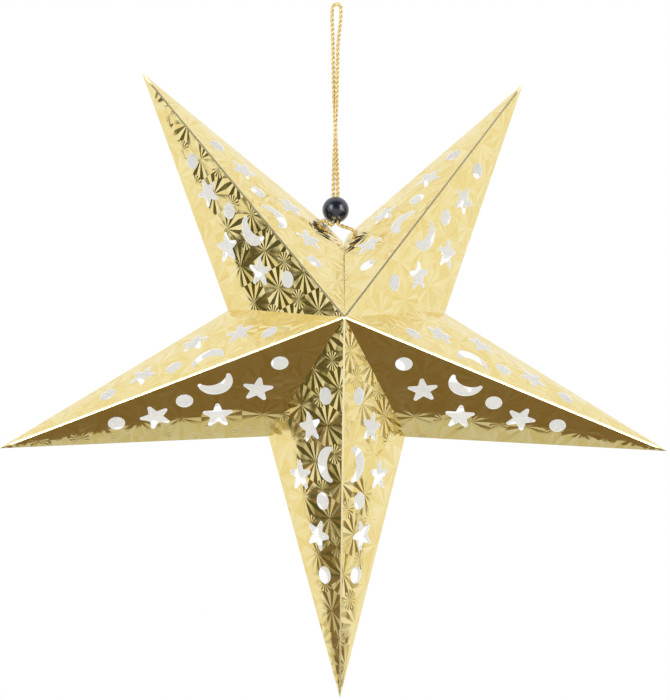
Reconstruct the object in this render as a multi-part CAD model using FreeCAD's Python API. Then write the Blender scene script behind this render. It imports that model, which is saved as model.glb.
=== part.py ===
"""Hanging five-pointed paper star. Five folded cards of gold foil board, each one a hollow
point with four facets, are glued edge to edge round the centre. The two end cards stay
unglued at the top, where a cord with a round bead cinches them together and hangs the star.
Units are millimetres. The star's front faces -Y, and the origin is the inside of the hanging
loop, where a hook carries it."""

import FreeCAD, Part
import math
import os

V = FreeCAD.Vector

# Star as folded
TIP_SPAN = 300.0
POINTS = 5
HALF_DEPTH = 51.5
VALLEY_RADIUS = 52.3
CARD = 0.4
GLUE_MARGIN = 8.0
SEAM_OPENING = 0.6

# How far each point and valley stands off an even star, as put together by hand.
# Points start at the bottom and valleys to the right of it, both going anticlockwise.
ARM_NAMES = ["bottom", "lower_right", "upper_right", "upper_left", "lower_left"]
TIP_TURN_DEG = [0.36, 0.28, 1.35, -0.66, 0.29]
TIP_LEAN = [-2.1, -0.9, 4.3, -2.1, -0.9]
VALLEY_TURN_DEG = [0.0, -0.9, -3.6, 1.0, 0.3]
VALLEY_RISE = [0.1, -0.3, -2.0, -0.5, 0.4]

# Die-cut holes of a facet: places run along the ridge from the centre and square to it
ROUND_HOLE = 7.6
STAR_REACH = 6.9
STAR_WAIST = 3.4
STAR_TIP_ROUND = 0.95
MOON_OUTER = 7.8
MOON_INNER = 7.7
MOON_OFFSET = 5.8
MOON_HORN = 0.8
CUT_OUTS = [
    ("round", 35.0, 11.2, 0.0),
    ("star", 49.7, 20.7, 93.0),
    ("moon", 64.4, 7.9, 0.0),
    ("star", 71.7, 26.7, 102.0),
    ("round", 81.0, 12.3, 0.0),
    ("star", 96.4, 15.0, 270.0),
    ("round", 113.2, 10.5, 0.0),
]

# Hanging cord, bead and stop knots
CORD = 1.8
LOOP_TOP = 166.55
STRAND_SPACING = 2.1
BEAD = 12.4
BEAD_RUNNING_GAP = 0.2
BEAD_RISE = 63.9
BEAD_ASIDE = -0.4
BEAD_MOUTH_ROUND = 0.35
CORD_HOLE = 3.2
HOLE_FROM_VALLEY = {"upper_left": 12.6, "upper_right": 5.4}
HOLE_FROM_FOLD = {"upper_left": 3.6, "upper_right": 2.8}
SNIP_ON_FOLD = {"upper_left": 9.4, "upper_right": 2.6}
SNIP_ON_SEAM = 4.0
KNOT = 5.2
KNOT_LIP = 0.4
KNOT_ENTRY_DEPTH = 0.5
KNOT_ENTRY_GAP = 0.2

# Route of the cord from the star's centre: out of the left knot, up through the bead,
# once round the other strand, over the loop and back down to the right knot
CORD_ROUTE = [
    (-8.69, -2.50, 56.23), (-7.65, -3.75, 57.46), (-5.28, -3.74, 57.60), (-3.08, -1.59, 55.88),
    (-2.09, -0.62, 56.17), (-1.45, 0.00, 57.28), (-1.45, 0.00, 74.00), (-1.14, -0.74, 89.50),
    (-0.40, -1.05, 105.00), (0.34, -0.74, 121.00), (0.65, 0.00, 137.00), (0.90, 0.00, 147.00),
    (1.95, 0.00, 156.20), (2.40, 0.00, 162.20), (2.30, 0.00, 165.38), (1.13, 0.00, 166.55),
    (-0.53, 0.00, 166.55), (-1.70, 0.00, 165.38), (-1.95, 0.00, 161.80), (-1.80, 0.00, 154.50),
    (-1.50, 0.00, 146.50), (-1.45, 0.00, 137.00), (-1.14, 0.74, 121.00), (-0.40, 1.05, 105.00),
    (0.34, 0.74, 89.50), (0.65, 0.00, 74.00), (0.65, 0.00, 57.38), (1.27, -0.25, 56.37),
    (7.86, -2.81, 53.70), (9.02, -1.59, 52.36),
]
RUN_SHARE_IN_ARC = 0.45

PITCH_DEG = 360.0 / POINTS
TIP_RADIUS = TIP_SPAN / 2 / math.cos(math.radians(PITCH_DEG / 4))
HOOK_ASIDE = 0.3
CENTRE = V(-HOOK_ASIDE, 0, CORD / 2 - LOOP_TOP)
FRONT_APEX = CENTRE + V(0, -HALF_DEPTH, 0)
BACK_APEX = CENTRE + V(0, HALF_DEPTH, 0)
SEAM_VALLEY = ARM_NAMES.index("upper_right")
REACH = 2 * TIP_SPAN


def on_star(radius, angle_deg, lean=0.0):
    """Point at a radius and an angle in the star's plane, leaning along Y."""
    angle = math.radians(angle_deg)
    return CENTRE + V(radius * math.cos(angle), lean, radius * math.sin(angle))


def unit(vector):
    return V(vector).normalize()


def tip(arm):
    return on_star(TIP_RADIUS, 270 + arm * PITCH_DEG + TIP_TURN_DEG[arm], TIP_LEAN[arm])


def valley(number, side):
    """Valley point of the card on one side: +1 is the anticlockwise one."""
    radius = VALLEY_RADIUS + VALLEY_RISE[number]
    angle = 270 + (number + 0.5) * PITCH_DEG + VALLEY_TURN_DEG[number]
    if number == SEAM_VALLEY:
        angle += side * math.degrees(SEAM_OPENING / 2 / radius)
    return on_star(radius, angle)


def placed(origin, along, outward):
    """Placement with X along one direction and Z outward."""
    across = outward.cross(along)
    return FreeCAD.Placement(origin, FreeCAD.Rotation(along, across, outward, "ZXY"))


def slab(place, width, depth):
    """Flat box under the XY plane of a placement, long in X and of a width in Y."""
    box = Part.makeBox(2 * REACH, width, depth, V(-REACH, -width / 2, -depth))
    box.Placement = place
    return box


def solid_from_triangles(triangles):
    faces = [Part.Face(Part.makePolygon([a, b, c, a])) for a, b, c in triangles]
    solid = Part.Solid(Part.Shell(faces))
    if solid.Volume < 0:
        solid.reverse()
    return solid


def facet_frame(apex, point, side_valley, inside):
    """Placement on a facet: X along the ridge from the apex, Z out of the card.
    The second value is +1 where the side valley lies towards +Y of that placement."""
    along = unit(point - apex)
    outward = unit(along.cross(side_valley - apex))
    turned = 1
    if outward.dot(apex + (point - apex) * 0.5 - inside) < 0:
        outward = outward * -1
        turned = -1
    return placed(apex, along, outward), turned


def round_outline(u, v, turn_deg):
    return Part.Wire(Part.Circle(V(u, v, 0), V(0, 0, 1), ROUND_HOLE / 2).toShape())


def star_outline(u, v, turn_deg):
    """Five straight-sided tips, each ending in an arc that its flanks touch."""
    middle = STAR_REACH - STAR_TIP_ROUND
    half_turn = math.radians(180 / POINTS)
    waist = V(STAR_WAIST * math.cos(half_turn), STAR_WAIST * math.sin(half_turn), 0)
    spoke = waist - V(middle, 0, 0)
    touch = math.atan2(spoke.y, spoke.x) - math.acos(STAR_TIP_ROUND / spoke.Length)
    flank = V(middle + STAR_TIP_ROUND * math.cos(touch), STAR_TIP_ROUND * math.sin(touch), 0)
    mirror = V(flank.x, -flank.y, 0)
    edges = []
    for step in range(POINTS):
        spin = FreeCAD.Rotation(V(0, 0, 1), turn_deg + step * 360 / POINTS)
        low, start, end, nose, high = [
            spin.multVec(p) + V(u, v, 0)
            for p in (V(waist.x, -waist.y, 0), mirror, flank, V(STAR_REACH, 0, 0), waist)
        ]
        edges.append(Part.LineSegment(low, start).toShape())
        edges.append(Part.Arc(start, nose, end).toShape())
        edges.append(Part.LineSegment(end, high).toShape())
    return Part.Wire(edges)


def moon_outline(u, v, turn_deg):
    """Crescent open towards the ridge, its horns ending in small arcs."""
    outer_x = math.sqrt(MOON_OUTER**2 - MOON_HORN**2)
    inner_x = math.sqrt(MOON_INNER**2 - (MOON_OFFSET - MOON_HORN) ** 2)
    horn_x = (outer_x + inner_x) / 2
    horn_low = -MOON_HORN - (outer_x - inner_x) / 2
    centre = V(u, v, 0)

    def at(x, y):
        return centre + V(x, y, 0)

    edges = [
        Part.Arc(at(outer_x, -MOON_HORN), at(0, MOON_OUTER), at(-outer_x, -MOON_HORN)),
        Part.Arc(at(-outer_x, -MOON_HORN), at(-horn_x, horn_low), at(-inner_x, -MOON_HORN)),
        Part.Arc(at(-inner_x, -MOON_HORN), at(0, MOON_INNER - MOON_OFFSET), at(inner_x, -MOON_HORN)),
        Part.Arc(at(inner_x, -MOON_HORN), at(horn_x, horn_low), at(outer_x, -MOON_HORN)),
    ]
    return Part.Wire([edge.toShape() for edge in edges])


OUTLINES = {"round": round_outline, "star": star_outline, "moon": moon_outline}


def facet_cutters(place, turned):
    """Punches for the seven holes of a facet, mirrored on the facets that turn the other way."""
    cutters = []
    for kind, u, v, turn_deg in CUT_OUTS:
        face = Part.Face(OUTLINES[kind](u, v, turn_deg))
        punch = face.extrude(V(0, 0, 4 * CARD))
        punch.translate(V(0, 0, -2 * CARD))
        if turned < 0:
            punch = punch.mirror(V(0, 0, 0), V(0, 1, 0))
        punch.Placement = place.multiply(punch.Placement)
        cutters.append(punch)
    return cutters


def cord_hole_place(name, point, seam_point):
    """Placement at an end card's cord hole, in its front facet beside the side fold."""
    fold = unit(point - seam_point)
    outward = unit((point - FRONT_APEX).cross(seam_point - FRONT_APEX))
    if outward.y > 0:
        outward = outward * -1
    inward_on_facet = outward.cross(fold)
    if inward_on_facet.dot(FRONT_APEX - seam_point) < 0:
        inward_on_facet = inward_on_facet * -1
    middle = seam_point + fold * HOLE_FROM_VALLEY[name] + inward_on_facet * HOLE_FROM_FOLD[name]
    return placed(middle, fold, outward)


def arm(number):
    """One folded card: four facets with their holes, and glue margins turned in at both valleys."""
    name = ARM_NAMES[number]
    point = tip(number)
    near = valley((number - 1) % POINTS, +1)
    far = valley(number, -1)
    filled = solid_from_triangles([
        (FRONT_APEX, point, near), (FRONT_APEX, far, point), (BACK_APEX, near, point),
        (BACK_APEX, point, far), (FRONT_APEX, near, BACK_APEX), (FRONT_APEX, BACK_APEX, far),
    ])
    inside = filled.CenterOfMass
    walls = []
    cutters = []
    for apex in (FRONT_APEX, BACK_APEX):
        for side_valley in (near, far):
            place, turned = facet_frame(apex, point, side_valley, inside)
            walls.append(filled.common(slab(place, 2 * REACH, CARD)))
            cutters += facet_cutters(place, turned)
            outward = unit((side_valley - CENTRE).cross(V(0, 1, 0)))
            if outward.dot(CENTRE - inside) < 0:
                outward = outward * -1
            margin_place = placed(apex, unit(side_valley - apex), outward)
            walls.append(filled.common(slab(margin_place, 2 * GLUE_MARGIN, CARD)))
    card = walls[0].multiFuse(walls[1:]).removeSplitter()
    if name in HOLE_FROM_VALLEY:
        seam_point = far if number == SEAM_VALLEY else near
        hole_place = cord_hole_place(name, point, seam_point)
        hole = Part.makeCylinder(CORD_HOLE / 2, 4 * CARD, V(0, 0, -2 * CARD))
        hole.Placement = hole_place
        cutters.append(hole)
        cutters.append(corner_snip(name, point, seam_point))
    return card.cut(Part.makeCompound(cutters))


def corner_snip(name, point, seam_point):
    """Block that takes off an end card's corner at the top of the seam."""
    on_fold = seam_point + unit(point - seam_point) * SNIP_ON_FOLD[name]
    on_front = seam_point + unit(FRONT_APEX - seam_point) * SNIP_ON_SEAM
    on_back = seam_point + unit(BACK_APEX - seam_point) * SNIP_ON_SEAM
    along = unit(on_back - on_front)
    outward = unit(along.cross(on_fold - on_front))
    if outward.dot(seam_point - on_fold) < 0:
        outward = outward * -1
    block = Part.makeBox(4 * KNOT, 4 * KNOT, 4 * KNOT, V(-2 * KNOT, -2 * KNOT, 0))
    block.Placement = placed(on_fold, along, outward)
    return block


def cord_path(points):
    """Straight runs joined by tangent arcs, and the radius of each arc."""
    edges = []
    radii = []
    start = points[0]
    for before, corner, after in zip(points, points[1:], points[2:]):
        back = unit(before - corner)
        ahead = unit(after - corner)
        half_turn = (math.pi - back.getAngle(ahead)) / 2
        trim = RUN_SHARE_IN_ARC * min((before - corner).Length, (after - corner).Length)
        radius = trim / math.tan(half_turn)
        enter = corner + back * trim
        leave = corner + ahead * trim
        inward = unit(back + ahead)
        crown = corner + inward * (radius / math.cos(half_turn) - radius)
        edges.append(Part.LineSegment(start, enter).toShape())
        edges.append(Part.Arc(enter, crown, leave).toShape())
        radii.append(radius)
        start = leave
    edges.append(Part.LineSegment(start, points[-1]).toShape())
    return Part.Wire(edges), radii


def hanging_cord():
    points = [CENTRE + V(*point) for point in CORD_ROUTE]
    path, radii = cord_path(points)
    section = Part.Wire(Part.Circle(points[0], points[1] - points[0], CORD / 2).toShape())
    tube = path.makePipeShell([section], True, False)
    print("cord length", round(path.Length, 1), "arc radii", [round(r, 2) for r in radii])
    print("cord volume", round(tube.Volume, 2), "section times length",
          round(math.pi * CORD**2 / 4 * path.Length, 2))
    return tube


def cinch_bead():
    """Round bead, bored for both strands side by side with a running gap."""
    bore = STRAND_SPACING / 2 + CORD / 2 + BEAD_RUNNING_GAP
    middle = CENTRE + V(BEAD_ASIDE, 0, BEAD_RISE)
    bead = Part.makeSphere(BEAD / 2).cut(Part.makeCylinder(bore, 2 * BEAD, V(0, 0, -BEAD)))
    mouths = [e for e in bead.Edges if abs(e.BoundBox.ZLength) < CARD / 10]
    bead = bead.makeFillet(BEAD_MOUTH_ROUND, mouths)
    bead.translate(middle)
    return bead


def stop_knot(name, number, side):
    """Knot drawn up against the inside of the card, wider than the hole it stops."""
    seam_point = valley(SEAM_VALLEY, side)
    place = cord_hole_place(name, tip(number), seam_point)
    flat_radius = CORD_HOLE / 2 + KNOT_LIP
    drop = math.sqrt((KNOT / 2) ** 2 - flat_radius**2)
    ball = Part.makeSphere(KNOT / 2, V(0, 0, -CARD - drop))
    ball = ball.cut(Part.makeBox(KNOT, KNOT, KNOT, V(-KNOT / 2, -KNOT / 2, -CARD)))
    entry = Part.makeCylinder(CORD / 2 + KNOT_ENTRY_GAP, KNOT, V(0, 0, -CARD - KNOT_ENTRY_DEPTH))
    knot = ball.cut(entry)
    knot.Placement = place
    return knot


os.makedirs("parts", exist_ok=True)
pieces = {"arm_" + name: arm(number) for number, name in enumerate(ARM_NAMES)}
pieces["hanging_cord"] = hanging_cord()
pieces["cinch_bead"] = cinch_bead()
pieces["knot_left"] = stop_knot("upper_left", SEAM_VALLEY + 1, +1)
pieces["knot_right"] = stop_knot("upper_right", SEAM_VALLEY, -1)
for node, shape in pieces.items():
    solids = len(shape.Solids)
    print(node, "solids", solids, "valid", shape.isValid(), "volume", round(shape.Volume, 2))
    shape.exportStep("parts/" + node + ".step")
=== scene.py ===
"""A hanging five-pointed star of gold foil card, with its cord loop, cinch bead and stop knots.
The script follows the star as it is put together, from the cord that carries it to the cards.
Lengths are metres unless a name says otherwise, and the front of the star faces -Y."""

import math

import bmesh
import bpy
from mathutils import Matrix, Vector, kdtree, noise


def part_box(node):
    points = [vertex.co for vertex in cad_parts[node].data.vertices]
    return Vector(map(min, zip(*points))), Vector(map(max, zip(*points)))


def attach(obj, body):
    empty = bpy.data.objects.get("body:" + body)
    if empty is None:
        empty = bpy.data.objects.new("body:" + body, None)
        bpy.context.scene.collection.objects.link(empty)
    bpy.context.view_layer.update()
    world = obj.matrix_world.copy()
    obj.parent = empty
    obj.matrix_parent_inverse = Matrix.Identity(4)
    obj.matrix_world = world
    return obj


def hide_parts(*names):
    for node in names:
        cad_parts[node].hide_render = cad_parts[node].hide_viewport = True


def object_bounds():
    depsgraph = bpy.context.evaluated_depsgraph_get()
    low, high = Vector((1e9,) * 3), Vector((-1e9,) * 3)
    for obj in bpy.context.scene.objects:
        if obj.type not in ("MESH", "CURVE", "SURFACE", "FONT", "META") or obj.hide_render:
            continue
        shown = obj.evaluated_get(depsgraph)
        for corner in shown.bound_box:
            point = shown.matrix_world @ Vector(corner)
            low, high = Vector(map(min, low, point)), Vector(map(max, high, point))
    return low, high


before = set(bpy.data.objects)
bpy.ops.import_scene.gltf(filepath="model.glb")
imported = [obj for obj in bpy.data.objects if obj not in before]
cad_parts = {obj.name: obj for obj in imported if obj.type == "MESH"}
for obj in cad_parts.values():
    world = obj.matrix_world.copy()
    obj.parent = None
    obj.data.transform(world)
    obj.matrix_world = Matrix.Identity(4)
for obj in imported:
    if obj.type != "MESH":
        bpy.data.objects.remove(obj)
cad_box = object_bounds()
scene = bpy.context.scene

# The camera stands in front of the star, a little below it and to the left, and looks up.
# A long lens fills the frame with the star, with the loop close to its upper edge.
CAMERA_AT = Vector((-0.0490, -0.7484, -0.3394))
CAMERA_PITCH_DEG = 102.848
CAMERA_TURN_DEG = -3.663
CAMERA_ROLL_DEG = -0.085
LENS_MM = 57.98
SENSOR_MM = 24.0

camera_data = bpy.data.cameras.new("camera")
camera_data.sensor_fit = "VERTICAL"
camera_data.sensor_height = SENSOR_MM
camera_data.lens = LENS_MM
camera = bpy.data.objects.new("camera", camera_data)
scene.collection.objects.link(camera)
camera.matrix_world = (
    Matrix.Translation(CAMERA_AT)
    @ Matrix.Rotation(math.radians(CAMERA_TURN_DEG), 4, "Z")
    @ Matrix.Rotation(math.radians(CAMERA_PITCH_DEG), 4, "X")
    @ Matrix.Rotation(math.radians(CAMERA_ROLL_DEG), 4, "Z")
)
scene.camera = camera


# The hanging cord is twisted from two plies of metallised gold thread. It leaves the left
# card's hole, runs up through the bead, once round its own other strand, over the loop and
# back down to the right card. The twist shows as short dark gaps between bright turns, their
# dark partly real and partly painted shade, darker towards the cord's centreline.
STAR_CENTRE = Vector((-0.0003, 0.0, -0.16565))
CORD_ROUTE = [
    (-0.00869, -0.00250, 0.05623), (-0.00765, -0.00375, 0.05746), (-0.00528, -0.00374, 0.05760),
    (-0.00308, -0.00159, 0.05588), (-0.00209, -0.00062, 0.05617), (-0.00145, 0.00000, 0.05728),
    (-0.00145, 0.00000, 0.07400), (-0.00114, -0.00074, 0.08950), (-0.00040, -0.00105, 0.10500),
    (0.00034, -0.00074, 0.12100), (0.00065, 0.00000, 0.13700), (0.00090, 0.00000, 0.14700),
    (0.00195, 0.00000, 0.15620), (0.00240, 0.00000, 0.16220), (0.00230, 0.00000, 0.16538),
    (0.00113, 0.00000, 0.16655), (-0.00053, 0.00000, 0.16655), (-0.00170, 0.00000, 0.16538),
    (-0.00195, 0.00000, 0.16180), (-0.00180, 0.00000, 0.15450), (-0.00150, 0.00000, 0.14650),
    (-0.00145, 0.00000, 0.13700), (-0.00114, 0.00074, 0.12100), (-0.00040, 0.00105, 0.10500),
    (0.00034, 0.00074, 0.08950), (0.00065, 0.00000, 0.07400), (0.00065, 0.00000, 0.05738),
    (0.00127, -0.00025, 0.05637), (0.00786, -0.00281, 0.05370), (0.00902, -0.00159, 0.05236),
]
PLY_LAY = 0.0048
PLY_RADIUS = 0.00052
PLY_OFFSET = 0.00042
PLIES = 2
PLY_STEP = 0.0004
ROUTE_ORDER = 3
ROUTE_STEPS = 12
TUBE_STEPS = 3
THREAD_PITCH_MM = 0.35
FILM_SHARE = 0.5
MM_PER_M = 1000.0
GROOVE_SHADE = "groove_shade"


def linear(hex_code):
    """sRGB hex to the linear colour that a shader takes."""
    channels = [int(hex_code[i:i + 2], 16) / 255 for i in (1, 3, 5)]
    return [c / 12.92 if c <= 0.04045 else ((c + 0.055) / 1.055) ** 2.4 for c in channels] + [1.0]


def add_node(tree, kind, feeds=None, **settings):
    """A shader node with its own settings. Each feed is a plain value, another node's socket,
    or a node, which then gives its first output."""
    made = tree.nodes.new("ShaderNode" + kind)
    for field, value in settings.items():
        setattr(made, field, value)
    for socket, feed in (feeds or {}).items():
        if isinstance(feed, bpy.types.Node):
            feed = feed.outputs[0]
        if isinstance(feed, bpy.types.NodeSocket):
            tree.links.new(feed, made.inputs[socket])
        else:
            made.inputs[socket].default_value = feed
    return made


def new_material(name, **values):
    """A material and its shader, with the sockets that are the same all over the surface."""
    made = bpy.data.materials.new(name)
    made.use_nodes = True
    shader = made.node_tree.nodes["Principled BSDF"]
    for socket, value in values.items():
        shader.inputs[socket.replace("_", " ")].default_value = value
    return made, made.node_tree, shader


def curve_object(name, lines, radius, order):
    """An open curve for each line of points, as round tubes of one radius. An order of 0
    keeps the points' straight steps; a higher one smooths the line."""
    data = bpy.data.curves.new(name, "CURVE")
    data.dimensions = "3D"
    data.bevel_depth = radius
    data.bevel_resolution = TUBE_STEPS
    data.resolution_u = ROUTE_STEPS
    for line in lines:
        spline = data.splines.new("NURBS" if order else "POLY")
        spline.points.add(len(line) - 1)
        for point, place in zip(spline.points, line):
            point.co = (*place, 1.0)
        if order:
            spline.order_u = order
            spline.use_endpoint_u = True
    made = bpy.data.objects.new(name, data)
    scene.collection.objects.link(made)
    return made


def mesh_from_curve(curve, name):
    """The curve's mesh as an object of its own; the curve goes."""
    mesh = bpy.data.meshes.new_from_object(curve.evaluated_get(bpy.context.evaluated_depsgraph_get()))
    mesh.name = name
    bpy.data.objects.remove(curve)
    made = bpy.data.objects.new(name, mesh)
    scene.collection.objects.link(made)
    return made


def line_points(points, name):
    """Points along the smooth line that the control points give."""
    route = curve_object(name + "_route", [points], 0.0, ROUTE_ORDER)
    route_mesh = mesh_from_curve(route, name + "_line")
    line = [v.co.copy() for v in route_mesh.data.vertices]
    bpy.data.objects.remove(route_mesh)
    return line


def evenly(line, step):
    """Points every step along a line, its two ends among them."""
    lengths = [0.0]
    for a, b in zip(line, line[1:]):
        lengths.append(lengths[-1] + (b - a).length)
    count = max(2, round(lengths[-1] / step))
    out = []
    segment = 0
    for k in range(count + 1):
        want = lengths[-1] * k / count
        while segment < len(line) - 2 and lengths[segment + 1] < want:
            segment += 1
        share = (want - lengths[segment]) / (lengths[segment + 1] - lengths[segment])
        out.append(line[segment].lerp(line[segment + 1], share))
    return out


def plies(line, step, offset, lay, count):
    """Helices round a line, one for each ply, with the twist carried along its bends."""
    along = [(b - a).normalized() for a, b in zip(line, line[1:])]
    along.append(along[-1])
    across = along[0].orthogonal().normalized()
    turns = [[] for _ in range(count)]
    for k, (place, ahead) in enumerate(zip(line, along)):
        across = (across - ahead * across.dot(ahead)).normalized()
        beside = ahead.cross(across)
        for ply, turn in enumerate(turns):
            angle = 2 * math.pi * (k * step / lay + ply / count)
            turn.append(place + offset * (math.cos(angle) * across + math.sin(angle) * beside))
    return turns


def mark_groove_shade(mesh, line, offset, radius):
    """Marks each point of a thread for the painted shade in its grooves: 0 at its centreline, 1 at its
    full radius.
    """
    tree = kdtree.KDTree(len(line))
    for k, place in enumerate(line):
        tree.insert(place, k)
    tree.balance()
    groove_shade_mask = mesh.attributes.new(GROOVE_SHADE, "FLOAT", "POINT")
    groove_shade_mask.data.foreach_set("value", [tree.find(v.co)[2] / (offset + radius) for v in mesh.vertices])


def twisted(points, name, step, offset, radius, lay, count):
    """Twisted thread along control points, and the line that it follows."""
    line = evenly(line_points(points, name), step)
    strands = curve_object(name + "_plies", plies(line, step, offset, lay, count), radius, 0)
    made = mesh_from_curve(strands, name)
    made.data.shade_smooth()
    mark_groove_shade(made.data, line, offset, radius)
    return made, line


def thread_material():
    """Lurex: nylon thread wrapped in aluminised film. Bright, with glints that break up at
    each fine turn of the film and painted brown shade in the grooves, where the plies meet."""
    made, tree, shader = new_material("gold_lurex_twisted", Metallic=0.6, Roughness=0.38)
    place = add_node(tree, "TexCoord")
    fine = add_node(tree, "TexNoise", {0: place.outputs["Object"], "Scale": MM_PER_M / THREAD_PITCH_MM,
                                       "Detail": 1.0})
    # Painted shade: the colour darkens towards the cord's centreline, into the grooves between the
    # plies.
    groove_shade_mask = add_node(tree, "Attribute", attribute_name=GROOVE_SHADE)
    speckle_and_groove_shade = add_node(tree, "Math", {0: fine, 1: FILM_SHARE, 2: groove_shade_mask.outputs["Fac"]},
                       operation="MULTIPLY_ADD")
    tint = add_node(tree, "ValToRGB", {0: speckle_and_groove_shade})
    tint.color_ramp.elements[0].position = 0.35
    tint.color_ramp.elements[0].color = linear("#5E4518")
    tint.color_ramp.elements[1].position = 0.85
    tint.color_ramp.elements[1].color = linear("#EAD394")
    relief = add_node(tree, "Bump", {"Height": fine, "Strength": 0.6, "Distance": 0.0002})
    tree.links.new(tint.outputs[0], shader.inputs["Base Color"])
    tree.links.new(relief.outputs[0], shader.inputs["Normal"])
    return made


cord_points = [STAR_CENTRE + Vector(point) for point in CORD_ROUTE]
thread = thread_material()
cord, cord_line = twisted(cord_points, "hanging_cord_twisted", PLY_STEP, PLY_OFFSET, PLY_RADIUS,
                          PLY_LAY, PLIES)
cord.data.materials.append(thread)
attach(cord, "star")
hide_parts("hanging_cord")


# A stop knot in each end of the cord keeps it from pulling back through its card. Each is
# one overhand knot of the same thread, drawn tight against the white inside of the card.
KNOT_THREAD = 0.00078
KNOT_STEPS = 60
KNOT_LEAN = 0.6
TREFOIL_REACH = 3


def overhand(middle, reach, turn):
    """Line of an overhand knot, closed on itself, as wide with its thread as twice its reach."""
    size = (reach - KNOT_THREAD) / TREFOIL_REACH
    line = []
    for k in range(KNOT_STEPS + 1):
        t = 2 * math.pi * k / KNOT_STEPS
        loop = Vector((
            math.sin(t) + 2 * math.sin(2 * t),
            math.cos(t) - 2 * math.cos(2 * t),
            -math.sin(3 * t),
        ))
        line.append(middle + turn @ (loop * size))
    return line


for side, lean in (("left", -KNOT_LEAN), ("right", KNOT_LEAN)):
    low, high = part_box("knot_" + side)
    reach = min(high - low) / 2
    turn = Matrix.Rotation(lean, 3, "Z") @ Matrix.Rotation(math.pi / 2, 3, "X")
    line = overhand((low + high) / 2, reach, turn)
    knot = mesh_from_curve(curve_object("knot_curve", [line], KNOT_THREAD, 0), "stop_knot_" + side)
    knot.data.shade_smooth()
    mark_groove_shade(knot.data, line, 0.0, KNOT_THREAD)
    knot.data.materials.append(thread)
    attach(knot, "star")
    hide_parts("knot_" + side)


# The cinch bead is a turned wooden ball, dyed black and lacquered. Both strands pass through
# its bore, and it slides down to draw the two end cards together.
BEAD_BORE = 0.00215
BEAD_MOUTH = 0.00035
MOUTH_ROUND = 0.3
BEAD_STEPS = 18
BEAD_SPIN = 48
BEAD_SHARP_DEG = 50
BEAD_MERGE = 1e-6
GRAIN_PER_MM = (0.9, 0.9, 0.14)


def bead_material():
    """Lacquered dyed beech: near black with a blue cast, soft broad highlights, and a lacquer
    that is level only from afar."""
    made, tree, shader = new_material(
        "black_lacquered_beech", Roughness=0.3, Coat_Weight=0.6, Coat_Roughness=0.12)
    place = add_node(tree, "TexCoord")
    grain = add_node(tree, "Mapping", {0: place.outputs["Object"],
                                       "Scale": [MM_PER_M * marks for marks in GRAIN_PER_MM]})
    fibres = add_node(tree, "TexNoise", {0: grain, "Scale": 1.0, "Detail": 3.0})
    tint = add_node(tree, "ValToRGB", {0: fibres})
    tint.color_ramp.elements[0].color = linear("#0E1124")
    tint.color_ramp.elements[1].color = linear("#1C2140")
    relief = add_node(tree, "Bump", {"Height": fibres, "Strength": 0.15, "Distance": 0.0001})
    tree.links.new(tint.outputs[0], shader.inputs["Base Color"])
    tree.links.new(relief.outputs[0], shader.inputs["Normal"])
    return made


def mesh_object(name, bm):
    """The finished mesh as an object in the scene."""
    mesh = bpy.data.meshes.new(name)
    bm.to_mesh(mesh)
    bm.free()
    made = bpy.data.objects.new(name, mesh)
    scene.collection.objects.link(made)
    return made


def bored_ball(name, low, high, bore, mouth, steps, spin_steps):
    """Ball bored through along Z: half of its section, spun round the bore."""
    middle = (low + high) / 2
    radius = (high.x - low.x) / 2
    rise = math.acos((bore + mouth) / radius)
    section = []
    for k in range(steps + 1):
        angle = -rise + 2 * rise * k / steps
        section.append(Vector((radius * math.cos(angle), 0, radius * math.sin(angle))))
    lip = radius * math.sin(rise) - mouth
    section.append(Vector((bore + mouth * MOUTH_ROUND, 0, lip + mouth * (1 - MOUTH_ROUND))))
    section.append(Vector((bore, 0, lip)))
    section.append(Vector((bore, 0, -lip)))
    section.append(Vector((bore + mouth * MOUTH_ROUND, 0, -lip - mouth * (1 - MOUTH_ROUND))))
    bm = bmesh.new()
    corners = [bm.verts.new(middle + p) for p in section]
    rim = [bm.edges.new((a, b)) for a, b in zip(corners, corners[1:] + corners[:1])]
    bmesh.ops.spin(bm, geom=corners + rim, cent=middle, axis=(0, 0, 1), angle=2 * math.pi,
                   steps=spin_steps, use_merge=True, use_duplicate=False)
    bmesh.ops.remove_doubles(bm, verts=bm.verts, dist=BEAD_MERGE)
    bmesh.ops.recalc_face_normals(bm, faces=bm.faces)
    made = mesh_object(name, bm)
    made.data.shade_smooth()
    made.data.set_sharp_from_angle(angle=math.radians(BEAD_SHARP_DEG))
    return made


bead = bored_ball("cinch_bead_turned", *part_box("cinch_bead"), BEAD_BORE, BEAD_MOUTH, BEAD_STEPS,
                  BEAD_SPIN)
bead.data.materials.append(bead_material())
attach(bead, "bead")
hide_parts("cinch_bead")


# Each of the five points is one sheet of 0.4 mm board, laminated on its outside with gold
# film that is embossed with bursts of rays. The sheet is punched, then folded along lines
# that meet at its tip, so that white board shows inside and at every cut.
TIP_SPAN = 0.300
HALF_DEPTH = 0.0515
VALLEY_RADIUS = 0.0523
CARD = 0.0004
CARD_NAMES = ["bottom", "lower_right", "upper_right", "upper_left", "lower_left"]
TIP_TURN_DEG = [0.36, 0.28, 1.35, -0.66, 0.29]
TIP_LEAN = [-0.0021, -0.0009, 0.0043, -0.0021, -0.0009]
VALLEY_TURN_DEG = [0.0, -0.9, -3.6, 1.0, 0.3]
VALLEY_RISE = [0.0001, -0.0003, -0.0020, -0.0005, 0.0004]
POINTS = len(CARD_NAMES)
PITCH_DEG = 360 / POINTS

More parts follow.
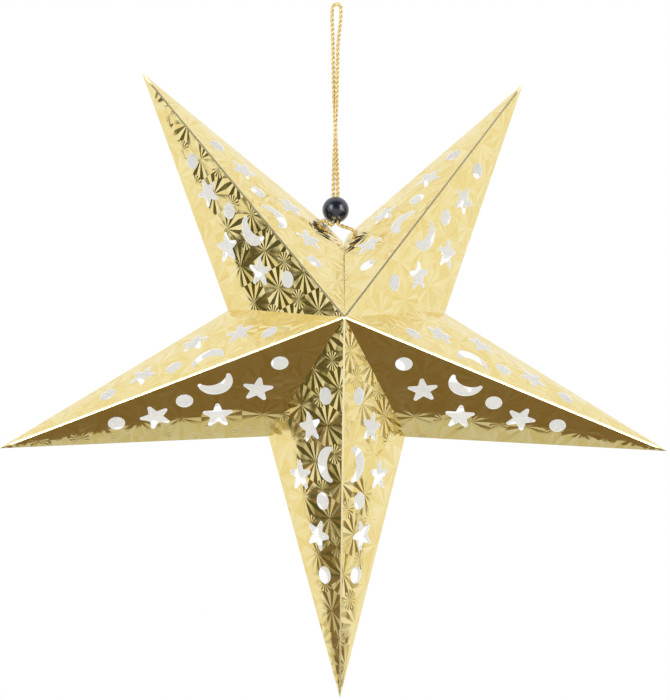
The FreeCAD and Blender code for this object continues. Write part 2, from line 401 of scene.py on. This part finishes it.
BURST_PITCH = 0.018
BURST_TURN_DEG = 23.5
BURST_RAYS = 22
SMALL_BURST_RAYS = 28
SMALL_BURST_REACH = 0.0044
RAY_TILT = 0.075
TILT_SPREAD = 0.3
FIRST_BURST = {
    "bottom": (0.0477, -0.0100), "lower_right": (0.0520, 0.0040), "upper_right": (0.0430, -0.0060),
    "upper_left": (0.0365, 0.0180), "lower_left": (0.0560, -0.0050),
}
RIPPLES_PER_MM = 0.07
SCUFFS_PER_MM = 0.9
MOTTLES_PER_MM = 1.4

GRID = 0.002
CARD_MERGE = 2e-6
CUT_SLACK = 1e-6
FLAT_DEG = 0.5
BAND = 0.0135
BAND_SLOPE = 0.17
BAND_WAVE = 0.022
BAND_SWAY = 0.3
BAND_SOFTNESS = 0.0001
RIDGE_RUN = 0.025
BACK_SHARE = 0.3
CREASE = 0.00043
CREASE_FADE = 0.008
SHARP_DEG = 18
ON_FACE = CARD / 8
IN_FACE = 1.5 * CARD
SAME_WAY = 0.98
SHEET = "sheet"
FOIL, BOARD, CREASED = range(3)
SEAM_VALLEY = CARD_NAMES.index("upper_right")
SEAM_OPENING = 0.0006


def foil_material():
    """Aluminised film under gold lacquer, cold embossed. A mirror broken into rays: every
    second ray tilts the other way round its burst, so rays show dark where their neighbours
    show light."""
    made, tree, shader = new_material("gold_foil_embossed", Metallic=1.0, Roughness=0.14)
    sheet = add_node(tree, "UVMap", uv_map=SHEET)

    # A point's place in its burst, small or big, and the ray of that burst that it lies on.
    from_centre = []
    for shift in (0.5, 0.0):
        moved = add_node(tree, "VectorMath", {0: sheet, 1: (shift, shift, 0.0)}, operation="ADD")
        cell = add_node(tree, "VectorMath", {0: moved}, operation="FRACTION")
        from_centre.append(add_node(tree, "VectorMath", {0: cell, 1: (0.5, 0.5, 0.0)},
                                    operation="SUBTRACT"))
    big, small = from_centre
    small_reach = add_node(tree, "VectorMath", {0: small}, operation="LENGTH").outputs["Value"]
    in_small = add_node(tree, "Math", {0: small_reach, 1: SMALL_BURST_REACH / BURST_PITCH},
                        operation="LESS_THAN")
    place = add_node(tree, "Mix", {0: in_small, 4: big, 5: small}, data_type="VECTOR").outputs[1]
    across, up, _ = add_node(tree, "SeparateXYZ", {0: place}).outputs
    angle = add_node(tree, "Math", {0: up, 1: across}, operation="ARCTAN2")
    turn = add_node(tree, "Math", {0: angle, 1: 2 * math.pi}, operation="DIVIDE")
    rays = add_node(tree, "Math", {0: in_small, 1: SMALL_BURST_RAYS - BURST_RAYS, 2: BURST_RAYS},
                    operation="MULTIPLY_ADD")
    turned = add_node(tree, "Math", {0: turn, 1: rays}, operation="MULTIPLY")
    above_zero = add_node(tree, "Math", {0: turned, 1: BURST_RAYS}, operation="ADD")
    ray = add_node(tree, "Math", {0: above_zero}, operation="FLOOR")
    odd = add_node(tree, "Math", {0: ray, 1: 2.0}, operation="MODULO")
    side = add_node(tree, "Math", {0: odd, 1: 2.0, 2: -1.0}, operation="MULTIPLY_ADD")

    # How far that ray tilts: a chance of its own for each ray of each burst.
    centre = add_node(tree, "VectorMath", {0: sheet, 1: place}, operation="SUBTRACT")
    doubled = add_node(tree, "VectorMath", {0: centre, 1: (2.0, 2.0, 0.0), 2: (0.5, 0.5, 0.0)},
                       operation="MULTIPLY_ADD")
    burst = add_node(tree, "VectorMath", {0: doubled}, operation="FLOOR")
    column, row, _ = add_node(tree, "SeparateXYZ", {0: burst}).outputs
    seed = add_node(tree, "CombineXYZ", {0: column, 1: row, 2: ray})
    chance = add_node(tree, "TexWhiteNoise", {"Vector": seed}, noise_dimensions="3D").outputs["Value"]
    tilt = add_node(tree, "Math", {0: chance, 1: RAY_TILT * TILT_SPREAD,
                                   2: RAY_TILT * (1 - TILT_SPREAD / 2)}, operation="MULTIPLY_ADD")
    swing = add_node(tree, "Math", {0: tilt, 1: side}, operation="MULTIPLY")

    # The ray's tilt round the burst's middle, as a normal on the flat sheet.
    down = add_node(tree, "Math", {0: up, 1: -1.0}, operation="MULTIPLY")
    around = add_node(tree, "CombineXYZ", {0: down, 1: across})
    unit = add_node(tree, "VectorMath", {0: around}, operation="NORMALIZE")
    lean = add_node(tree, "VectorMath", {0: unit, "Scale": swing}, operation="SCALE")
    leaning = add_node(tree, "VectorMath", {0: lean, 1: (0.0, 0.0, 1.0)}, operation="ADD")
    facing = add_node(tree, "VectorMath", {0: leaning}, operation="NORMALIZE")
    coded = add_node(tree, "VectorMath", {0: facing, 1: (0.5, 0.5, 0.5), 2: (0.5, 0.5, 0.5)},
                     operation="MULTIPLY_ADD")
    embossed = add_node(tree, "NormalMap", {"Color": coded}, uv_map=SHEET)

    # The slow ripple of the sheet itself, and a slightly different gold for each ray.
    where = add_node(tree, "TexCoord").outputs["Object"]
    ripple = add_node(tree, "TexNoise", {0: where, "Scale": MM_PER_M * RIPPLES_PER_MM, "Detail": 2.0})
    relief = add_node(tree, "Bump", {"Height": ripple, "Normal": embossed, "Strength": 1.0,
                                     "Distance": 0.0004})
    tint = add_node(tree, "ValToRGB", {0: chance})
    tint.color_ramp.elements[0].color = linear("#EBD588")
    tint.color_ramp.elements[1].color = linear("#F4E5AC")
    tree.links.new(tint.outputs[0], shader.inputs["Base Color"])
    tree.links.new(relief.outputs[0], shader.inputs["Normal"])
    return made


def crease_material():
    """The same film where a crease has stretched and rubbed it: paler, with a softer shine
    and fine scuffs."""
    made, tree, shader = new_material(
        "gold_foil_creased", Metallic=1.0, Roughness=0.38, Base_Color=linear("#FAEDC0"))
    place = add_node(tree, "TexCoord")
    scuffs = add_node(tree, "TexNoise", {0: place.outputs["Object"], "Scale": MM_PER_M * SCUFFS_PER_MM,
                                         "Detail": 3.0})
    relief = add_node(tree, "Bump", {"Height": scuffs, "Strength": 0.4, "Distance": 0.0002})
    tree.links.new(relief.outputs[0], shader.inputs["Normal"])
    return made


def board_material():
    """Coated white board: matt, a shade off white, with a faint fibre mottle. The little glow
    stands for daylight that reaches the hollow after many more bounces."""
    made, tree, shader = new_material("white_board_coated", Roughness=0.62,
                                      Emission_Color=linear("#FFFFFF"), Emission_Strength=0.10)
    place = add_node(tree, "TexCoord")
    mottle = add_node(tree, "TexNoise", {0: place.outputs["Object"], "Scale": MM_PER_M * MOTTLES_PER_MM,
                                         "Detail": 4.0})
    tint = add_node(tree, "ValToRGB", {0: mottle})
    tint.color_ramp.elements[0].color = linear("#F4F3EF")
    tint.color_ramp.elements[1].color = linear("#FCFCFA")
    relief = add_node(tree, "Bump", {"Height": mottle, "Strength": 0.06, "Distance": 0.0001})
    tree.links.new(tint.outputs[0], shader.inputs["Base Color"])
    tree.links.new(relief.outputs[0], shader.inputs["Normal"])
    return made


def on_star(radius, angle_deg, lean=0.0):
    """A point of the star's outline, some way from its centre, leaning to the back or front."""
    angle = math.radians(angle_deg)
    return STAR_CENTRE + Vector((radius * math.cos(angle), lean, radius * math.sin(angle)))


def angle_from(start, point):
    """Angle between two directions, from 0 up."""
    return math.atan2(start.cross(point).length, start.dot(point))


def from_line(a, b, point):
    """Distance of a point from the line through two others."""
    along = (b - a).normalized()
    offset = point - a
    return (offset - along * offset.dot(along)).length


class Facet:
    """One of a card's four triangles: where it lies and where it was on the flat sheet."""

    def __init__(self, tip, apex, fold_end, ridge, turn, fold_angle, is_front):
        self.tip, self.apex, self.fold_end = tip, apex, fold_end
        self.turn, self.is_front, self.fold_angle = turn, is_front, fold_angle
        self.ridge = ridge
        self.normal = (apex - tip).cross(fold_end - tip).normalized()
        if self.normal.dot(tip - STAR_CENTRE) < 0:
            self.normal = -self.normal

    def on_sheet(self, point):
        """Place on the flat sheet, from the front apex towards the tip and anticlockwise."""
        arm = point - self.tip
        if self.is_front:
            angle = angle_from(self.apex - self.tip, arm)
        else:
            angle = self.fold_angle + angle_from(self.fold_end - self.tip, arm)
        swing = math.pi - self.turn * angle
        return Vector((self.ridge + arm.length * math.cos(swing), arm.length * math.sin(swing)))

    def height(self, point):
        """How far a point stands out from the flat triangle."""
        return self.normal.dot(point - self.tip)

    def belly(self, point):
        """How far the card swells off the flat triangle: it rises from the side fold to a soft
        wavy line and falls back to the ridge. The unseen back swells less."""
        to_fold = from_line(self.tip, self.fold_end, point)
        to_ridge = from_line(self.tip, self.apex, point)
        band = BAND * (1 + BAND_SWAY * noise.noise(point / BAND_WAVE))
        rise = BAND_SLOPE * to_fold
        fall = BAND_SLOPE * band * to_ridge / max(to_fold + to_ridge - band, RIDGE_RUN)
        lower = (rise + fall - math.hypot(rise - fall, BAND_SOFTNESS)) / 2
        return max(lower, 0.0) * (1 if self.is_front else BACK_SHARE)


def card_facets(number):
    """The four facets of a card, keyed by side (front or back) and by turn (-1 near, +1 far)."""
    reach = TIP_SPAN / 2 / math.cos(math.radians(PITCH_DEG / 4))
    tip = on_star(reach, 270 + number * PITCH_DEG + TIP_TURN_DEG[number], TIP_LEAN[number])
    front = STAR_CENTRE - Vector((0, HALF_DEPTH, 0))
    back = STAR_CENTRE + Vector((0, HALF_DEPTH, 0))
    ridge = (front - tip).length
    facets = {}
    for turn, valley in ((-1, (number - 1) % POINTS), (1, number)):
        radius = VALLEY_RADIUS + VALLEY_RISE[valley]
        angle = 270 + (valley + 0.5) * PITCH_DEG + VALLEY_TURN_DEG[valley]
        if valley == SEAM_VALLEY:
            angle -= turn * math.degrees(SEAM_OPENING / 2 / radius)
        fold_end = on_star(radius, angle)
        fold_angle = angle_from(front - tip, fold_end - tip)
        facets[True, turn] = Facet(tip, front, fold_end, ridge, turn, fold_angle, True)
        facets[False, turn] = Facet(tip, back, fold_end, ridge, turn, fold_angle, False)
    return facets


def facet_of(facets, point):
    """The facet that a point of the card lies in or behind: the one with the nearest plane,
    counting also how far past that facet's edges the point lies."""
    return min(facets.values(), key=lambda facet: abs(facet.height(point)) + outside(facet, point))


def outside(facet, point):
    """How far a point lies past the ridge or the side fold, measured in the facet's plane."""
    middle = (facet.tip + facet.apex + facet.fold_end) / 3
    far = 0.0
    for a, b in ((facet.tip, facet.apex), (facet.tip, facet.fold_end)):
        inward = facet.normal.cross(b - a).normalized()
        if inward.dot(middle - a) < 0:
            inward = -inward
        far = max(far, -inward.dot(point - a))
    return far


def on_margin(facet, normal, point):
    """Whether a face is the foil side of a glue margin, which lies against the next card."""
    away = Vector((0, 1, 0)).cross(facet.fold_end - STAR_CENTRE).normalized()
    if away.dot(facet.tip - STAR_CENTRE) > 0:
        away = -away
    return normal.dot(away) > SAME_WAY and abs((point - STAR_CENTRE).dot(away)) < ON_FACE


def cut_strips(bm, outward, sideways, reach):
    """Cuts a card along and across, finely enough to swell, and beside each ridge's crease."""
    cuts = [(k * GRID, outward) for k in range(1, int(reach / GRID))]
    steps = int(VALLEY_RADIUS * math.sin(math.radians(PITCH_DEG / 2)) / GRID) + 1
    cuts += [(k * GRID, sideways) for k in range(-steps, steps + 1)]
    cuts += [(-CREASE, sideways), (CREASE, sideways)]
    for distance, direction in cuts:
        bmesh.ops.bisect_plane(bm, geom=bm.verts[:] + bm.edges[:] + bm.faces[:], dist=CUT_SLACK,
                               plane_co=STAR_CENTRE + direction * distance, plane_no=direction)
    bmesh.ops.triangulate(bm, faces=bm.faces)


def finish_faces(bm, facets, sideways, first_burst):
    """Gives each face its finish and its place on the flat sheet, in steps of the bursts."""
    sheet = bm.loops.layers.uv.new(SHEET)
    grid_turn = Matrix.Rotation(math.radians(BURST_TURN_DEG), 2)
    start = Vector(first_burst)
    for face in bm.faces:
        middle = face.calc_center_median()
        facet = facet_of(facets, middle)
        is_outer = face.normal.dot(facet.normal) > SAME_WAY and abs(facet.height(middle)) < ON_FACE
        is_margin = any(on_margin(facets[True, turn], face.normal, middle) for turn in (-1, 1))
        if is_outer and abs((middle - STAR_CENTRE).dot(sideways)) < CREASE:
            face.material_index = CREASED
        elif is_outer or is_margin:
            face.material_index = FOIL
        else:
            face.material_index = BOARD
        for loop in face.loops:
            place = facet.on_sheet(loop.vert.co)
            loop[sheet].uv = (grid_turn @ (place - start)) / BURST_PITCH


def swell(bm, facets, sideways):
    """Swells the facets along Y, so that neighbours still meet, and flattens the ridges."""
    for vert in bm.verts:
        facet = facet_of(facets, vert.co)
        height = abs(facet.height(vert.co))
        if height >= IN_FACE:
            continue
        swelling = facet.belly(vert.co) / facet.normal.y
        if height < ON_FACE and abs((vert.co - STAR_CENTRE).dot(sideways)) < ON_FACE:
            fade = min((vert.co - facet.tip).length / CREASE_FADE, 1.0)
            ridge_way = (facet.normal - sideways * facet.normal.dot(sideways)).normalized()
            vert.co -= ridge_way * CREASE * fade
        vert.co.y += swelling


def folded_card(number, name):
    """The card's flat solid, cut into strips, swollen a little and given its sheet map."""
    facets = card_facets(number)
    bm = bmesh.new()
    bm.from_mesh(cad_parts["arm_" + name].data)
    bmesh.ops.remove_doubles(bm, verts=bm.verts, dist=CARD_MERGE)
    bmesh.ops.dissolve_limit(bm, angle_limit=math.radians(FLAT_DEG), use_dissolve_boundaries=False,
                             verts=bm.verts, edges=bm.edges, delimit={"NORMAL"})
    to_tip = facets[True, 1].tip - STAR_CENTRE
    outward = to_tip.normalized()
    sideways = Vector((0, 1, 0)).cross(outward).normalized()
    cut_strips(bm, outward, sideways, to_tip.dot(outward))
    finish_faces(bm, facets, sideways, FIRST_BURST[name])
    swell(bm, facets, sideways)
    bm.normal_update()
    for face in bm.faces:
        face.smooth = True
    for edge in bm.edges:
        edge.smooth = edge.calc_face_angle(math.pi) < math.radians(SHARP_DEG)
    made = mesh_object("foil_card_" + name, bm)
    made.data.attributes.remove(made.data.attributes["custom_normal"])
    return made


card_finishes = {FOIL: foil_material(), BOARD: board_material(), CREASED: crease_material()}
for number, name in enumerate(CARD_NAMES):
    card = folded_card(number, name)
    for finish in card_finishes.values():
        card.data.materials.append(finish)
    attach(card, "star")
    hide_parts("arm_" + name)


# The studio: a pale floor under the hanging star, white all round it, two soft boxes that show
# only as glints, and glowing panels that mirror rays alone see, which paint reflections of shade:
# a grey one behind and a dark one below for the shaded floor, and dark ones at the left, in front and
# above.
FLOOR_DROP = 0.10
FLOOR_SIZE = 3.0
BELOW_RISE = 0.01
BELOW_X = (-1.5, 0.9)
BELOW_Y = (-0.2, 0.028)
BEHIND_Y = (0.028, 0.16)
LEFT_X = -0.9
FRONT_X = (-2.4, 2.4)
FRONT_Y = -2.0
FRONT_Z = (-0.3, 2.0)
ABOVE_Y = (-2.0, -0.9)
WORLD_FILL = 1.1
SOFT_BOX_SIZE = (0.6, 1.1)
SOFT_BOX_WATTS = 13.0
SOFT_BOX_AT = {"soft_box_left": (-1.10, -1.20, 0.15), "soft_box_right": (1.15, -1.15, 0.15)}


def flat_panel(name, corners, finish):
    """A flat sheet of the studio with one finish."""
    bm = bmesh.new()
    bm.faces.new([bm.verts.new(corner) for corner in corners])
    made = mesh_object(name, bm)
    made.data.materials.append(finish)
    return made


def rectangle(across, up):
    """Corners of a rectangle from its two limits in each of two directions."""
    return [(across[0], up[0]), (across[1], up[0]), (across[1], up[1]), (across[0], up[1])]


floor_finish, _, _ = new_material("floor_paper", Base_Color=linear("#F3F1EC"), Roughness=0.9)
level = cad_box[0].z - FLOOR_DROP
floor_span = (-FLOOR_SIZE, FLOOR_SIZE)
flat_panel("floor", [(x, y, level) for x, y in rectangle(floor_span, floor_span)], floor_finish)


def painted_reflection_panel(name, corners, hex_code):
    """An evenly coloured glowing panel that shows in mirrors alone, so it throws no shadow: its colour
    is a painted reflection of shade.
    """
    finish = bpy.data.materials.new(name + "_finish")
    finish.use_nodes = True
    finish.node_tree.nodes.clear()
    glow = add_node(finish.node_tree, "Emission", {0: linear(hex_code)})
    add_node(finish.node_tree, "OutputMaterial", {0: glow})
    made = flat_panel(name, corners, finish)
    made.visible_camera = False
    made.visible_diffuse = False
    made.visible_shadow = False
    made.visible_transmission = False


below_level = level + BELOW_RISE
left_edge = [(-0.9, level), (-0.04, level), (0.01, -0.36), (0.0, -0.2), (-0.03, -0.08), (-0.9, -0.04)]
below = [(x, y, below_level) for x, y in rectangle(BELOW_X, BELOW_Y)]
behind = [(x, y, below_level) for x, y in rectangle(BELOW_X, BEHIND_Y)]
left = [(LEFT_X, y, z) for y, z in left_edge]
in_front = [(x, FRONT_Y, z) for x, z in rectangle(FRONT_X, FRONT_Z)]
above = [(x, y, FRONT_Z[1]) for x, y in rectangle(FRONT_X, ABOVE_Y)]
# Painted reflections: each colour stands for shade that the foil mirrors, of the floor below and behind
# the star and of dark surroundings.
painted_reflection_panel("painted_reflection_below", below, "#826F4F")
painted_reflection_panel("painted_reflection_behind", behind, "#D2D1C8")
painted_reflection_panel("painted_reflection_left", left, "#524E2A")
painted_reflection_panel("painted_reflection_front", in_front, "#14161C")
painted_reflection_panel("painted_reflection_above", above, "#3A331C")

world = bpy.data.worlds.new("studio")
scene.world = world
world.use_nodes = True
tree = world.node_tree
tree.nodes.clear()
light_path = add_node(tree, "LightPath")
seen = light_path.outputs["Is Camera Ray"]
for ray in ("Is Glossy Ray", "Is Transmission Ray"):
    seen = add_node(tree, "Math", {0: seen, 1: light_path.outputs[ray]}, operation="MAXIMUM").outputs[0]
fill = add_node(tree, "Background", {0: linear("#FFFFFF"), 1: WORLD_FILL})
backdrop = add_node(tree, "Background", {0: linear("#FFFFFF"), 1: 1.0})
mixed = add_node(tree, "MixShader", {0: seen, 1: fill, 2: backdrop})
add_node(tree, "OutputWorld", {0: mixed})

for name, place in SOFT_BOX_AT.items():
    data = bpy.data.lights.new(name, "AREA")
    data.shape = "RECTANGLE"
    data.size, data.size_y = SOFT_BOX_SIZE
    data.energy = SOFT_BOX_WATTS
    soft_box = bpy.data.objects.new(name, data)
    scene.collection.objects.link(soft_box)
    soft_box.location = place
    soft_box.rotation_euler = (STAR_CENTRE - Vector(place)).to_track_quat("-Z", "Y").to_euler()
    soft_box.visible_diffuse = False

scene.view_settings.view_transform = "Standard"
